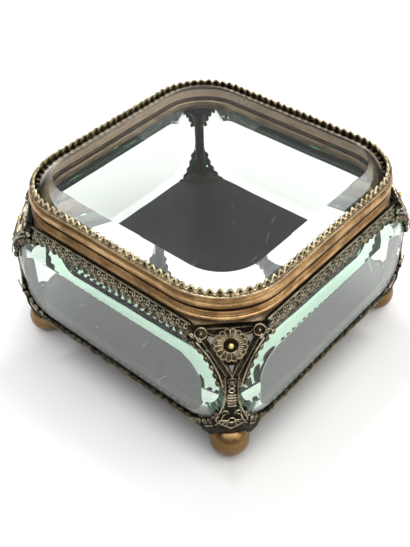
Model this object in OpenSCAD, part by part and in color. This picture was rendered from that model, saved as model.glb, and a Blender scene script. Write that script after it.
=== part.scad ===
// Bevelled glass casket on four ball feet, with a hinged glass lid.
// Origin at the centre of the standing surface, +Z up, front at -Y, hinge at +Y.

/* [Casket] */
// Distance between the flat faces of opposite side glasses
body_side = 127.4; // [127:0.2:129]
// Height of the side glasses from edge to edge
glass_h = 46.6; // [45:0.2:48]
// Thickness of every glass plate
glass_t = 6.4; // [6:0.1:7]
// Depth that the bevels cut into the outer face
bevel_depth = 3.6; // [3:0.1:4]
// Width of the bevels on the side glasses
bevel_w = 8; // [7:0.1:9]
// Corner radius of the side glass outline
glass_r = 19; // [17:0.5:21]
// Distance from the end of a side glass to the flat face plane of its neighbour
glass_end = 7.3; // [7:0.1:8]

/* [Lid] */
// Distance that the side glasses stand proud of the lid frame
lid_inset = 3.7; // [3.5:0.1:3.9]
// Outer corner radius of the lid frame in plan
lid_r = 28; // [26:0.5:30]
// Height of the lid frame moulding
lid_h = 10.4; // [9.5:0.1:11.5]
// Width of the bevel on the lid glass
lid_bevel_w = 7.8; // [7:0.1:9]
// Gap between the lid frame and the body rim
lid_gap = 0.6; // [0.5:0.1:0.8]
// Height of the pronged edging above the lid frame
edging_h = 2.6; // [2.4:0.1:3]

/* [Feet] */
// Diameter of the ball feet
ball_d = 16; // [15:0.5:17]
// Flat worn on the underside of each ball
ball_flat_d = 5; // [4:0.5:6]
// Distance of a ball centre from the flat face plane of a side glass
ball_inset = 10.4; // [10:0.1:11]
// Height of the base plate underside
base_z = 15.2; // [14.8:0.1:15.4]
// Diameter of the screwed stud on each ball
stud_d = 2.5; // [2.2:0.1:2.8]

/* [Metalwork] */
// Thickness of the base plate
base_t = 1.2; // [1:0.1:1.6]
// Thickness of the stamped side strips
strip_t = 1.1; // [1:0.1:1.3]
// Spacing of the knobs on the stamped strips
knob_pitch = 3.6; // [3.4:0.1:4]
// Diameter of one knob
knob_d = 2.8; // [2.6:0.1:3.2]
// Diameter of the daisy on each corner mount
daisy_d = 13; // [12:0.1:13.6]
// Number of petals on the daisy
petals = 16; // [14:1:18]
// Diameter of the polished boss in the daisy
boss_d = 4.4; // [4:0.1:4.8]
// Outward tilt of the head of each corner mount
head_tilt = 30; // [28:1:32]

/* [Hinge] */
// Diameter of the hinge pin
pin_d = 1.8; // [1.6:0.1:2]
// Outer diameter of the hinge knuckles
knuckle_d = 4; // [3.8:0.1:4.4]
// Length of the whole hinge
hinge_l = 46; // [40:1:52]
// Radial clearance of the pin in the lid knuckles
pin_gap = 0.05; // [0.03:0.01:0.08]

/* [Hidden] */
$fn = 96;
half = body_side / 2;
lid_half = half - lid_inset;
eps = 0.02;
fit = 0.15;

glass_z = base_z + base_t + 0.1;
glass_top = glass_z + glass_h;
glass_mid = glass_z + glass_h / 2;
rim_plane = half - bevel_depth;
back_plane = half - glass_t;
glass_half = half - glass_end;
edge_t = glass_t - bevel_depth;

flange_t = 2;
ledge_z = glass_top + 3.6;
body_top = ledge_z + flange_t;
lid_z = body_top + lid_gap;
lid_top = lid_z + lid_h;
seat_z = lid_top - edge_t - 0.1;
rebate = 2.4;
seat_w = 3.4;
lid_glass_half = lid_half - rebate - fit;
lid_glass_r = lid_r - rebate - fit;
lid_glass_top = seat_z + glass_t;

strip_back = rim_plane + 0.8;
strip_low = glass_top - 1.3;
strip_bend = strip_low + 1.4;
strip_high = body_top - 0.05;
strip_slope = (strip_back - rim_plane - eps) / (ledge_z - strip_bend);
rail_t = 0.4;
wing_reach = glass_half - 13;
strip_half = wing_reach - 1.8;
base_half = rim_plane + 0.6;
base_r = 14;
lace_half = base_half - base_r - 0.7;
upstand_half = glass_half - 12.4;
upstand_h = 3.6;
lace_low = base_z - 0.2;
lace_high = base_z + 4.7;
lace_d = 2.2;
lace_bend = glass_z + (strip_back - rim_plane) * bevel_w / bevel_depth - 0.4;

ball_c = half - ball_inset;
ball_cz = sqrt(pow(ball_d / 2, 2) - pow(ball_flat_d / 2, 2));
post_d = 4.4;
corner_q = half * sqrt(2);
inner_q = corner_q - 20;
column_in = glass_half + 0.2;
column_w = 3.2;
block_q = ball_c * sqrt(2) + post_d / 2 + 0.3;
block_w = 5;
apron_w = 14;
apron_h = 11;
head_z = body_top - 0.6;
head_q = corner_q - 15.9;
rivet_d = 1.8;
rivet_gap = 0.05;
waist_q = corner_q - 7.6;
daisy_z = head_z - 5.8;
head_w = 15;
ear_d = 4.6;
ear_x = 10.2;
ear_up = 5;

floor_z = base_z + 8.6;
floor_t = 3;
floor_half = back_plane - 1.6;
floor_r = 17;

thread_gap = 0.03;
thread_l = 7;
lip_z = body_top - 0.8;
lip_in = 8;
web_z = glass_top + 0.1;
web_out = rim_plane - lid_half;
web_in = back_plane - lid_half - 0.1;
arm_w = 2.8;
arm_z = glass_top - 6.2;
arm_q = (lid_half - lid_r) * sqrt(2) + lid_r + web_in + 0.2;

hinge_y = lid_half + knuckle_d / 2 + 0.4;
hinge_z = ledge_z + knuckle_d / 2 + 0.3;
knuckle_gap = 0.2;
leaf_t = 1.2;
leaf_h = 5.6;
leaf_root = knuckle_d / 2 + 0.3;
knuckle_l = (hinge_l - 4 * knuckle_gap) / 5;

brass = [0.55, 0.41, 0.24];
bronze = [0.36, 0.29, 0.19];
copper = [0.60, 0.40, 0.26];
gilt = [0.80, 0.66, 0.34];
green_glass = [0.80, 0.93, 0.88, 0.45];
dark = [0.13, 0.13, 0.14];

// Rounded square in plan.
module round_square(h, r) {
    square([2 * h, 2 * (h - r)], center = true);
    square([2 * (h - r), 2 * h], center = true);
    for (a = [0 : 90 : 270]) rotate(a) translate([h - r, h - r]) circle(r);
}

// A profile swept round a rounded square path; x = 0 in the profile is the path.
module frame_sweep(h, r) {
    for (a = [0 : 90 : 270]) rotate(a) {
        translate([h - r, h - r, 0]) rotate_extrude(angle = 90) translate([r, 0]) children();
        translate([h, h - r, 0]) rotate([90, 0, 0]) linear_extrude(2 * (h - r)) children();
    }
}

// Flat slab with rounded corners standing upright, thickness along +Y, from z = 0 up.
module upright_slab(hw, h, r, t) {
    translate([0, t, 0]) rotate([90, 0, 0]) linear_extrude(t) translate([0, h / 2]) {
        square([2 * hw, h - 2 * r], center = true);
        square([2 * (hw - r), h], center = true);
        for (x = [-1, 1]) for (y = [-1, 1])
            translate([x * (hw - r), y * (h / 2 - r)]) circle(r);
    }
}

// Thick side glass: a straight edge and a bevel that rises to the flat face at -Y.
module side_glass() {
    hull() {
        translate([0, -rim_plane, glass_z]) upright_slab(glass_half, glass_h, glass_r, edge_t);
        translate([0, -half, glass_z + bevel_w])
            upright_slab(glass_half - bevel_w, glass_h - 2 * bevel_w, glass_r - bevel_w, eps);
    }
}

// Bands of equal reeds for a profile, as outward steps.
module reeds(x, z, n, pitch, depth) {
    for (i = [0 : n - 1]) translate([x, z + (i + 0.5) * pitch]) circle(d = depth * 2, $fn = 24);
}

// Lid frame section: bead, reeds, groove, broad round moulding and a top fillet.
module lid_profile() {
    cove = lid_z + 4.2;
    polygon([
        [-6, lid_z], [-0.9, lid_z], [-0.9, cove], [-1.7, cove], [-1.7, cove + 0.7],
        [-0.7, cove + 1], [-0.1, cove + 1.8], [0, cove + 2.8], [-0.15, cove + 3.8], [-0.7, cove + 4.8],
        [-0.7, lid_top], [-rebate, lid_top], [-rebate, seat_z], [-rebate - seat_w, seat_z],
        [-rebate - seat_w, seat_z - 1.2], [-5, seat_z - 1.8], [-5, lid_z + 1.6], [-6, lid_z + 1]
    ]);
    translate([-0.8, lid_z + 0.8]) circle(d = 1.5, $fn = 24);
    reeds(-0.9, lid_z + 1.7, 3, 0.8, 0.42);
}

module lid_frame() {
    color(copper) frame_sweep(lid_half, lid_r) lid_profile();
}

module lid_glass() {
    color(green_glass) hull() {
        translate([0, 0, seat_z]) linear_extrude(edge_t) round_square(lid_glass_half, lid_glass_r);
        translate([0, 0, lid_glass_top - eps]) linear_extrude(eps)
            round_square(lid_glass_half - lid_bevel_w, lid_glass_r - lid_bevel_w);
    }
}

// Pronged edging folded over the glass bevel.
module lid_edging() {
    over = lid_top + 0.1;
    color(gilt) frame_sweep(lid_half, lid_r) polygon([
        [-0.6, over], [-0.6, over + 0.5], [-rebate + 0.5, over + 0.7], [-rebate - 0.1, over + edging_h],
        [-rebate - 0.7, over + edging_h], [-rebate - 0.5, over + 0.5], [-rebate, over]
    ]);
}

// Reeded band lining the inside of the lid frame.
module lid_liner() {
    low = lid_z + 1.9;
    high = seat_z - 1.9;
    color(brass) frame_sweep(lid_half, lid_r) {
        polygon([[-5.1, low], [-5.1, high], [-5.7, high], [-5.7, low]]);
        reeds(-5.7, low + 0.2, 5, (high - low - 0.4) / 5, 0.3);
    }
}

// Body rim: the ledge under the lid with its locating lip, and a web down to the glass.
module body_rim() {
    color(copper) frame_sweep(lid_half, lid_r) polygon([
        [-1, ledge_z], [-1, body_top], [1.2 - lip_in, body_top], [1.2 - lip_in, body_top + 1.4],
        [-lip_in, body_top + 1.4], [-lip_in, lip_z], [web_in, lip_z], [web_in, web_z], [web_out, web_z],
        [web_out, ledge_z]
    ]);
}

// Base plate with a straight upstand inside each side glass.
module base_plate() {
    color(bronze) difference() {
        union() {
            translate([0, 0, base_z]) linear_extrude(base_t) round_square(base_half, base_r);
            for (a = [0 : 90 : 270]) rotate(a) translate([-upstand_half, 0.1 - back_plane, base_z])
                cube([2 * upstand_half, 1, upstand_h]);
        }
        for (a = [0 : 90 : 270]) rotate(a) translate([ball_c, -ball_c, 0])
            cylinder(d = stud_d + 2 * fit, h = 2 * base_z);
    }
}

// Round post inside one corner: it takes the stud of a ball foot and holds the rim on its arm.
module post(i) {
    low = base_z + base_t;
    post_q = ball_c * sqrt(2);
    color(bronze) rotate([0, 0, 90 * i]) difference() {
        union() {
            translate([ball_c, -ball_c, low]) cylinder(d = post_d, h = arm_z + 0.4 - low);
            rotate([0, 0, -45]) rotate([90, 0, 0]) linear_extrude(arm_w, center = true) polygon([
                [post_q, arm_z - 1.4], [post_q, arm_z], [post_q - 1.2, web_z], [arm_q, web_z],
                [arm_q, web_z - 1.8]
            ]);
        }
        translate([ball_c, -ball_c, low - 1]) cylinder(d = stud_d + 2 * thread_gap, h = thread_l + 1.5);
    }
}

// Dark board under the floor plate.
module floor_core() {
    low = base_z + base_t;
    color(dark) translate([0, 0, low]) linear_extrude(floor_z - floor_t - low)
        round_square(floor_half - 0.4, floor_r);
}

module floor_plate() {
    color(dark) translate([0, 0, floor_z - floor_t]) linear_extrude(floor_t)
        round_square(floor_half, floor_r);
}

// Ball foot with a worn flat below and a screwed stud above.
module foot(i) {
    color(brass) rotate([0, 0, 90 * i]) translate([ball_c, -ball_c, 0]) {
        intersection() {
            translate([0, 0, ball_cz]) sphere(d = ball_d);
            cylinder(d = 2 * ball_d, h = base_z);
        }
        translate([0, 0, 1]) cylinder(d = stud_d, h = base_z + base_t + thread_l - 1);
    }
}

// Strip along side i: its front outline as children, its section with x = 0 at its back and -X outward.
module bent_strip(i, reach, section) {
    rotate([0, 0, 90 * i]) intersection() {
        rotate([90, 0, 0]) linear_extrude(half) children();
        rotate([90, 0, 90]) linear_extrude(2 * reach, center = true) translate([-strip_back, 0])
            polygon(section);
    }
}

// Stamped strip along the top of one side glass: knobs below, and a rail that leans in under the lid.
module gallery(i) {
    lean = (strip_high - strip_bend) * strip_slope;
    rail = strip_high - 0.7;
    color(bronze) difference() {
        bent_strip(i, strip_half, [
            [0, strip_low], [0, strip_bend], [lean, strip_high], [lean - strip_t - rail_t, strip_high],
            [lean - strip_t - rail_t, rail], [(rail - strip_bend) * strip_slope - strip_t, rail],
            [-strip_t, strip_bend], [-strip_t, strip_low]
        ]) {
            translate([-strip_half, strip_low + knob_d / 2])
                square([2 * strip_half, strip_high - strip_low - knob_d / 2]);
            row(strip_half - knob_d / 2, strip_low + knob_d / 2, knob_pitch, knob_d);
        }
        // The back strip makes room for the hinge.
        if (i == 2) translate([-hinge_l / 2 - 1, 0, hinge_z - knuckle_d / 2 - 0.2])
            cube([hinge_l + 2, half, lid_h]);
    }
}

// A row of round knobs along X, centred, in a plane.
module row(reach, z, pitch, d) {
    n = floor(reach / pitch);
    for (k = [-n : n]) translate([k * pitch, z]) circle(d = d, $fn = 24);
}

// Stamped strip along the bottom of one side glass, its knobs bent back along the bevel.
module lace(i) {
    lean = (lace_high - lace_bend) * bevel_depth / bevel_w;
    color(bronze) bent_strip(i, lace_half, [
        [0, lace_low], [0, lace_bend], [-lean, lace_high], [-lean - strip_t, lace_high],
        [-strip_t, lace_bend], [-strip_t, lace_low]
    ]) {
        translate([-lace_half, lace_low]) square([2 * lace_half, lace_high - lace_low - lace_d + 0.3]);
        row(lace_half - lace_d / 2, lace_high - lace_d / 2, knob_pitch, lace_d);
    }
}

// Moves its children into the frame of one corner: X outward on the diagonal, Z up.
module at_corner(i) {
    rotate([0, 0, 90 * i - 45]) children();
}

// Frame of the tilted head: Z out of the face, Y up the face, origin at the daisy.
module at_head() {
    daisy_q = head_q + (head_z - daisy_z) * tan(head_tilt);
    translate([daisy_q, 0, daisy_z]) rotate([0, 90 - head_tilt, 0]) rotate([0, 0, 90]) children();
}

// Outer line of a corner mount seen along the side of the box, stepped in by d.
function spine(d = 0) = [
    [inner_q, base_z - 1], [waist_q - d - 2.9, base_z - 1], [waist_q - d - 1.9, base_z + base_t + 1],
    [waist_q - d + 0.5, base_z + 10.4], [waist_q - d + 0.3, base_z + 15], [waist_q - d, base_z + 18],
    [waist_q - d, glass_mid + 7],
    [head_q - d + (head_z - glass_mid - 13) * tan(head_tilt), glass_mid + 13], [head_q - d, head_z],
    [inner_q, head_z]
];

// Front outline of a corner mount, from the top edge down to the tip of the foot.
function face() = let(half_face = [
    [head_w, head_z + 1], [head_w, head_z - 8], [5.4, glass_mid + 11.5], [3.1, glass_mid + 7],
    [2.7, glass_mid + 3], [2.7, base_z + 23], [3.6, base_z + 19.2], [4.7, base_z + 16], [6.2, base_z + 12.4],
    [3.8, base_z + 9.2], [0.7, base_z + 5]
]) concat(half_face, [for (k = [len(half_face) - 1 : -1 : 0]) [-half_face[k][0], half_face[k][1]]]);

// Arc of one wing round the corner of a side glass, a little inside its outline.
function wing_arc(angles) = [for (a = angles)
    [-glass_half + glass_r - (glass_r - 1.4) * cos(a),
        glass_mid + sign(a) * (glass_h / 2 - glass_r) + (glass_r - 1.4) * sin(a)]
];

// Both wings of a mount on one side glass, above and below its waist; the corner is at -s.
function wing() = concat(
    [[-wing_reach, head_z], [-wing_reach, strip_low + 0.4]],
    wing_arc([66 : -7 : 17]),
    [[-glass_half - 3, glass_mid + 7], [-glass_half - 3, glass_mid - 7]],
    wing_arc([-20 : -7 : -55]),
    [[0.3 - lace_half - lace_d / 2, lace_high + 0.6], [0.3 - lace_half - lace_d / 2, base_z],
        [-glass_half - 7, base_z], [-glass_half - 7, head_z]]
);

module wing_plate() {
    translate([strip_back, 0, 0]) rotate([90, 0, 90]) linear_extrude(strip_t) polygon(wing());
}

// Room that a side glass needs behind the wings of the corner mounts.
module glass_room() {
    translate([0, -strip_back, glass_z - fit])
        upright_slab(glass_half + fit, glass_h + 2 * fit, glass_r + fit, strip_back - back_plane + fit);
}

module spine_solid(d = 0) {
    rotate([90, 0, 0]) linear_extrude(4 * head_w, center = true) polygon(spine(d));
}

// Stamped corner mount: tilted head, wings over both glasses, narrow column and foot.
module mount(i) {
    skin = 1.5;
    outer = strip_back + strip_t;
    color(bronze) at_corner(i) difference() {
        union() {
            intersection() {
                difference() {
                    spine_solid();
                    spine_solid(skin);
                }
                union() {
                    rotate([90, 0, 90]) linear_extrude(100) polygon(face());
                    translate([0, -apron_w / 2, glass_z]) cube([waist_q - 0.7, apron_w, apron_h]);
                }
                rotate([0, 0, 45]) {
                    translate([0, -outer, glass_mid]) cube([outer, outer, head_z]);
                    translate([0, -half, 0]) cube([half, half, glass_mid + eps]);
                }
            }
            intersection() {
                spine_solid();
                union() {
                    rotate([0, 0, 45]) wing_plate();
                    mirror([0, 1, 0]) rotate([0, 0, 45]) wing_plate();
                    rotate([0, 0, 45]) translate([column_in, -column_in - column_w, base_z + 12])
                        cube([column_w, column_w, glass_h - 20]);
                    translate([block_q, -block_w / 2, base_z + base_t + 0.1]) cube([10, block_w, 12]);
                }
            }
            at_head() for (s = [-1, 1]) translate([s * ear_x, ear_up, -1]) cylinder(d = ear_d, h = 1.9);
        }
        at_head() translate([0, 0, -5]) cylinder(d = rivet_d + 2 * rivet_gap, h = 10);
        at_head() for (s = [-1, 1]) translate([s * 7.9, -1.5, -5]) cylinder(d = 1.8, h = 10, $fn = 24);
        at_head() translate([0, 0, -5]) linear_extrude(10) polygon([[-1.8, -7.6], [1.8, -7.6], [0, -11.4]]);
        for (z = [3.8, 6.3]) translate([waist_q - 1, 0, glass_mid + z]) rotate([0, 90, 0])
            cylinder(d = 1.6, h = 4);
        for (a = [45, 135]) rotate(a) glass_room();
        translate([waist_q - 0.5, 0, base_z + 11]) rotate([0, 90, 0]) cylinder(d = 2.2, h = 4);
    }
}

// Daisy stamped in one corner mount, with a hole for its boss.
module daisy(i) {
    rim_d = 2 * PI * (daisy_d / 2) / petals * 0.92;
    color(bronze) at_corner(i) at_head() difference() {
        union() {
            linear_extrude(0.9) {
                circle(d = daisy_d - rim_d);
                for (k = [0 : petals - 1]) rotate(360 * k / petals)
                    translate([(daisy_d - rim_d) / 2, 0]) circle(d = rim_d, $fn = 24);
            }
            cylinder(d = boss_d + 1.6, h = 1.3);
        }
        translate([0, 0, -1]) cylinder(d = rivet_d + 2 * rivet_gap, h = 4);
    }
}

// Polished domed rivet through the daisy.
module boss(i) {
    color(gilt) at_corner(i) at_head() {
        intersection() {
            translate([0, 0, 1.3]) cylinder(d = boss_d, h = boss_d);
            translate([0, 0, 1.3 - 0.6]) sphere(d = boss_d + 0.4);
        }
        translate([0, 0, -1.6]) cylinder(d = rivet_d, h = 3.2);
    }
}

module knuckle(x) {
    translate([x, hinge_y, hinge_z]) rotate([0, 90, 0]) cylinder(d = knuckle_d, h = knuckle_l);
}

function knuckle_x(k) = -hinge_l / 2 + k * (knuckle_l + knuckle_gap);

module pin_bore(d) {
    translate([-hinge_l, hinge_y, hinge_z]) rotate([0, 90, 0]) cylinder(d = d, h = 2 * hinge_l);
}

// Lid hinge leaf: two knuckles on one strip that stands against the lid frame.
module hinge_lid() {
    leaf_x = knuckle_x(1);
    color(brass) difference() {
        union() {
            for (k = [1, 3]) {
                knuckle(knuckle_x(k));
                translate([knuckle_x(k), lid_half + 0.05, hinge_z]) cube([knuckle_l, leaf_t, leaf_h]);
            }
            translate([leaf_x, lid_half + 0.05, hinge_z + leaf_root])
                cube([knuckle_x(3) + knuckle_l - leaf_x, leaf_t, leaf_h - leaf_root]);
        }
        pin_bore(pin_d + 2 * pin_gap);
    }
}

// Body hinge leaf: three knuckles on one strip that hangs over the gallery strip.
module hinge_body() {
    leaf_y = strip_back + strip_t + 0.05;
    color(brass) difference() {
        union() {
            for (k = [0, 2, 4]) {
                knuckle(knuckle_x(k));
                translate([knuckle_x(k), leaf_y, hinge_z - leaf_h]) cube([knuckle_l, leaf_t, leaf_h]);
            }
            translate([knuckle_x(0), leaf_y, hinge_z - leaf_h]) cube([hinge_l, leaf_t, leaf_h - leaf_root]);
        }
        pin_bore(pin_d);
    }
}

module hinge_pin() {
    color(gilt) translate([-hinge_l / 2 - 0.6, hinge_y, hinge_z]) rotate([0, 90, 0])
        cylinder(d = pin_d, h = hinge_l + 1.2);
}

module glass_front() { color(green_glass) side_glass(); }
module glass_right() { color(green_glass) rotate([0, 0, 90]) side_glass(); }
module glass_back() { color(green_glass) rotate([0, 0, 180]) side_glass(); }
module glass_left() { color(green_glass) rotate([0, 0, 270]) side_glass(); }

lid_frame();
lid_glass();
lid_edging();
lid_liner();
hinge_lid();
hinge_body();
hinge_pin();
body_rim();
glass_front();
glass_right();
glass_back();
glass_left();
base_plate();
floor_core();
floor_plate();
gallery(0);  // gallery_front
gallery(1);  // gallery_right
gallery(2);  // gallery_back
gallery(3);  // gallery_left
lace(0);  // lace_front
lace(1);  // lace_right
lace(2);  // lace_back
lace(3);  // lace_left
mount(0);  // mount_fr
mount(1);  // mount_br
mount(2);  // mount_bl
mount(3);  // mount_fl
daisy(0);  // daisy_fr
daisy(1);  // daisy_br
daisy(2);  // daisy_bl
daisy(3);  // daisy_fl
boss(0);  // boss_fr
boss(1);  // boss_br
boss(2);  // boss_bl
boss(3);  // boss_fl
post(0);  // post_fr
post(1);  // post_br
post(2);  // post_bl
post(3);  // post_fl
foot(0);  // foot_fr
foot(1);  // foot_br
foot(2);  // foot_bl
foot(3);  // foot_fl
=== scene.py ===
import math
import bmesh
import bpy
from mathutils import Matrix, Vector, noise


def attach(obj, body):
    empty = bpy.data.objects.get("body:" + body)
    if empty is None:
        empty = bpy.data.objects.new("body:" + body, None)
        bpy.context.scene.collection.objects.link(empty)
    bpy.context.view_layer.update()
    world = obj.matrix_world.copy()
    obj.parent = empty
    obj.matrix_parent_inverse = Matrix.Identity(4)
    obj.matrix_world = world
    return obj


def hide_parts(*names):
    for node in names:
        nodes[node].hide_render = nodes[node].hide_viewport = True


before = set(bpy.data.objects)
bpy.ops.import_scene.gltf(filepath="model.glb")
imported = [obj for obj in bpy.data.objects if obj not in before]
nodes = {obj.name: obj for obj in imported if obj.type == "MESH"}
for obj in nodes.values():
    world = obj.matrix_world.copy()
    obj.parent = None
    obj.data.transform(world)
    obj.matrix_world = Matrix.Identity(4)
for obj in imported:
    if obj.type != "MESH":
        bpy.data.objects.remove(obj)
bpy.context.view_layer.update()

mm = 0.001
sides = ["front", "right", "back", "left"]
corners = ["fr", "br", "bl", "fl"]

# main sizes in millimetres, as the frame has them
casket = {
    "half": 63.7, "glassT": 6.4, "bevelDepth": 3.6, "bevelW": 8.0, "glassR": 19.0,
    "glassHalf": 56.4, "glassLow": 16.5, "glassTop": 63.1,
    "lidHalf": 60.0, "lidR": 28.0, "lidLow": 69.3, "lidTop": 79.7,
}
rimPlane = casket["half"] - casket["bevelDepth"]
backPlane = casket["half"] - casket["glassT"]


# small mesh workshop: parts are lists of points and faces, in millimetres
def newPart():
    return {"points": [], "faces": [], "raised": [], "along": [], "across": []}


def addShape(part, points, faces, raised=0.5, at=None, along=None, across=None):
    base = len(part["points"])
    for k, point in enumerate(points):
        spot = Vector(point)
        part["points"].append(at @ spot if at else spot)
        part["raised"].append(raised[k] if isinstance(raised, list) else raised)
        part["along"].append(along[k] if along else 0.0)
        part["across"].append(across[k] if across else 0.0)
    part["faces"] += [[base + i for i in face] for face in faces]


def makePiece(name, part, finish, body, stands=(), angle=40):
    mesh = bpy.data.meshes.new(name)
    mesh.from_pydata([p * mm for p in part["points"]], [], part["faces"])
    for key in ("raised", "along", "across"):
        layer = mesh.attributes.new(key, "FLOAT", "POINT")
        layer.data.foreach_set("value", part[key])
    work = bmesh.new()
    work.from_mesh(mesh)
    bmesh.ops.recalc_face_normals(work, faces=work.faces)
    work.to_mesh(mesh)
    work.free()
    mesh.shade_smooth()
    mesh.set_sharp_from_angle(angle=math.radians(angle))
    mesh.materials.append(finish)
    piece = bpy.data.objects.new(name, mesh)
    bpy.context.scene.collection.objects.link(piece)
    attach(piece, body)
    if stands:
        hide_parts(*stands)
    return piece


def joinRows(rows, count, closedRow=True, closedEnds=True):
    # faces between rows of equal length
    faces = []
    last = count if closedRow else count - 1
    for r in range(rows if closedEnds else rows - 1):
        for k in range(last):
            a, b = r * count + k, r * count + (k + 1) % count
            c, d = ((r + 1) % rows) * count + (k + 1) % count, ((r + 1) % rows) * count + k
            faces.append([a, b, c, d])
    return faces


def ringPath(half, radius, steps=24):
    # rounded square from the middle of the back, as points with outward normals
    path = []
    for quarter in (1, 2, 3, 0):
        turn = math.radians(90 * quarter)
        centre = Matrix.Rotation(turn, 2) @ Vector((half - radius, half - radius))
        for k in range(steps + 1):
            a = turn + math.radians(90 * k / steps)
            out = Vector((math.cos(a), math.sin(a)))
            path.append((centre + out * radius, out))
    return path


def sweepRing(part, profile, half=None, radius=None, raised=0.5, steps=24):
    half = half or casket["lidHalf"]
    radius = radius or casket["lidR"]
    path = ringPath(half, radius, steps)
    total, run = 0.0, [0.0]
    for k in range(1, len(path)):
        total += (path[k][0] - path[k - 1][0]).length
        run.append(total)
    total += (path[0][0] - path[-1][0]).length
    step, width = 0.0, []
    for k, (x, z) in enumerate(profile):
        step += math.dist((x, z), profile[k - 1]) if k else 0
        width.append(step)
    points, along, across, marks = [], [], [], []
    for (spot, out), s in zip(path, run):
        for k, (x, z) in enumerate(profile):
            points.append((spot.x + out.x * x, spot.y + out.y * x, z))
            along.append(min(s, total - s))
            across.append(width[k])
            marks.append(raised[k] if isinstance(raised, list) else raised)
    addShape(part, points, joinRows(len(path), len(profile)), marks, None, along, across)


def arc(cx, cz, r, start, end, steps=6):
    turns = [math.radians(start + (end - start) * k / steps) for k in range(steps + 1)]
    return [(cx + r * math.cos(a), cz + r * math.sin(a)) for a in turns]


def lathe(part, profile, at=None, steps=16, raised=0.5):
    # profile of (radius, height) about Z; a radius of nought closes the shape
    points, faces, marks = [], [], []
    rows = []
    for k, (r, z) in enumerate(profile):
        mark = raised[k] if isinstance(raised, list) else raised
        if r < 1e-6:
            rows.append([len(points)])
            points.append((0, 0, z))
            marks.append(mark)
        else:
            rows.append(list(range(len(points), len(points) + steps)))
            for s in range(steps):
                a = math.tau * s / steps
                points.append((r * math.cos(a), r * math.sin(a), z))
                marks.append(mark)
    for low, high in zip(rows, rows[1:]):
        for s in range(steps):
            t = (s + 1) % steps
            if len(low) == 1 and len(high) == 1:
                continue
            if len(low) == 1:
                faces.append([low[0], high[t], high[s]])
            elif len(high) == 1:
                faces.append([low[s], low[t], high[0]])
            else:
                faces.append([low[s], low[t], high[t], high[s]])
    addShape(part, points, faces, marks, at)


def bead(part, centre, radius, at=None, flat=1.0, raised=0.8, steps=10):
    place = (at or Matrix.Identity(4)) @ Matrix.Translation(Vector(centre))
    turns = [math.radians(-90 + 180 * k / 6) for k in range(7)]
    profile = [(radius * math.cos(a), radius * flat * math.sin(a)) for a in turns]
    profile[0] = (0, profile[0][1])
    profile[-1] = (0, profile[-1][1])
    lathe(part, profile, place, steps, raised)


def tube(part, path, radius, at=None, closed=False, sides=6, raised=0.8, flat=1.0):
    # round rod along points that lie nearly in the XY plane of at, flat squeezes it along Z
    spots = [Vector(p) for p in path]
    count = len(spots)
    points = []
    for k, spot in enumerate(spots):
        before = spots[k - 1] if k or closed else spot
        after = spots[(k + 1) % count] if k < count - 1 or closed else spot
        run = (after - before).normalized()
        side = run.cross(Vector((0, 0, 1)))
        side = side.normalized() if side.length > 1e-4 else Vector((1, 0, 0))
        up = side.cross(run).normalized()
        for s in range(sides):
            a = math.tau * s / sides
            points.append(spot + side * radius * math.cos(a) + up * radius * flat * math.sin(a))
    faces = joinRows(count, sides, True, closed)
    if not closed:
        faces += [list(range(sides)), list(range((count - 1) * sides, count * sides))]
    addShape(part, points, faces, raised, at)


def plate(part, outline, low, high, at=None, raised=0.4, inset=0.0):
    # flat plate from an outline in XY; inset slopes its edge
    count = len(outline)
    middle = sum((Vector(p) for p in outline), Vector((0, 0))) / count
    points = [(x, y, low) for x, y in outline]
    for x, y in outline:
        spot = Vector((x, y))
        spot += (middle - spot).normalized() * inset
        points.append((spot.x, spot.y, high))
    faces = joinRows(2, count, True, False)
    faces += [list(range(count)), list(range(count, 2 * count))]
    addShape(part, points, faces, raised, at)


def roughen(part, amount, size=1.1):
    # small uneven dents of a hand-worn stamping
    part["points"] = [p + noise.noise_vector(p / size) * amount for p in part["points"]]


def sideFrame(i):
    # X along the side, Y up, Z outward from the middle of the box
    turn = Matrix.Rotation(math.radians(90 * i), 4, "Z")
    return turn @ Matrix(((1, 0, 0, 0), (0, 0, -1, 0), (0, 1, 0, 0), (0, 0, 0, 1)))


def cornerFrame(i):
    # X along the diagonal face, Y up, Z outward on the diagonal
    turn = Matrix.Rotation(math.radians(90 * i + 45), 4, "Z")
    return turn @ Matrix(((1, 0, 0, 0), (0, 0, -1, 0), (0, 1, 0, 0), (0, 0, 0, 1)))


head = {"q": 74.2, "z": 68.1, "daisyZ": 62.3, "tilt": 30.0}


def headFrame(i):
    # X along the head of a corner mount, Y up the slope, Z out of it, origin at the daisy
    q = head["q"] + (head["z"] - head["daisyZ"]) * math.tan(math.radians(head["tilt"]))
    lean = Matrix.Rotation(math.radians(-head["tilt"]), 4, "X")
    return cornerFrame(i) @ Matrix.Translation((0, head["daisyZ"], q)) @ lean


# shader groups
def newGroup(name, inputs, outputs):
    group = bpy.data.node_groups.new(name, "ShaderNodeTree")
    for label, kind, value in inputs:
        socket = group.interface.new_socket(name=label, in_out="INPUT", socket_type=kind)
        socket.default_value = value
    for label, kind in outputs:
        group.interface.new_socket(name=label, in_out="OUTPUT", socket_type=kind)
    return group, group.nodes.new("NodeGroupInput"), group.nodes.new("NodeGroupOutput")


def addNode(tree, kind, settings=None, **inputs):
    node = tree.nodes.new("ShaderNode" + kind)
    for key, value in (settings or {}).items():
        setattr(node, key, value)
    for key, value in inputs.items():
        label = key.replace("_", " ")
        socket = node.inputs[int(label[1:])] if label[1:].isdigit() else node.inputs[label]
        if isinstance(value, bpy.types.NodeSocket):
            tree.links.new(value, socket)
        else:
            socket.default_value = value
    return node


def noiseOf(tree, vector, scale, detail=4.0, rough=0.55):
    node = addNode(tree, "TexNoise", Scale=scale, Detail=detail, Roughness=rough)
    tree.links.new(vector, node.inputs["Vector"])
    return node.outputs["Fac"]


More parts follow.
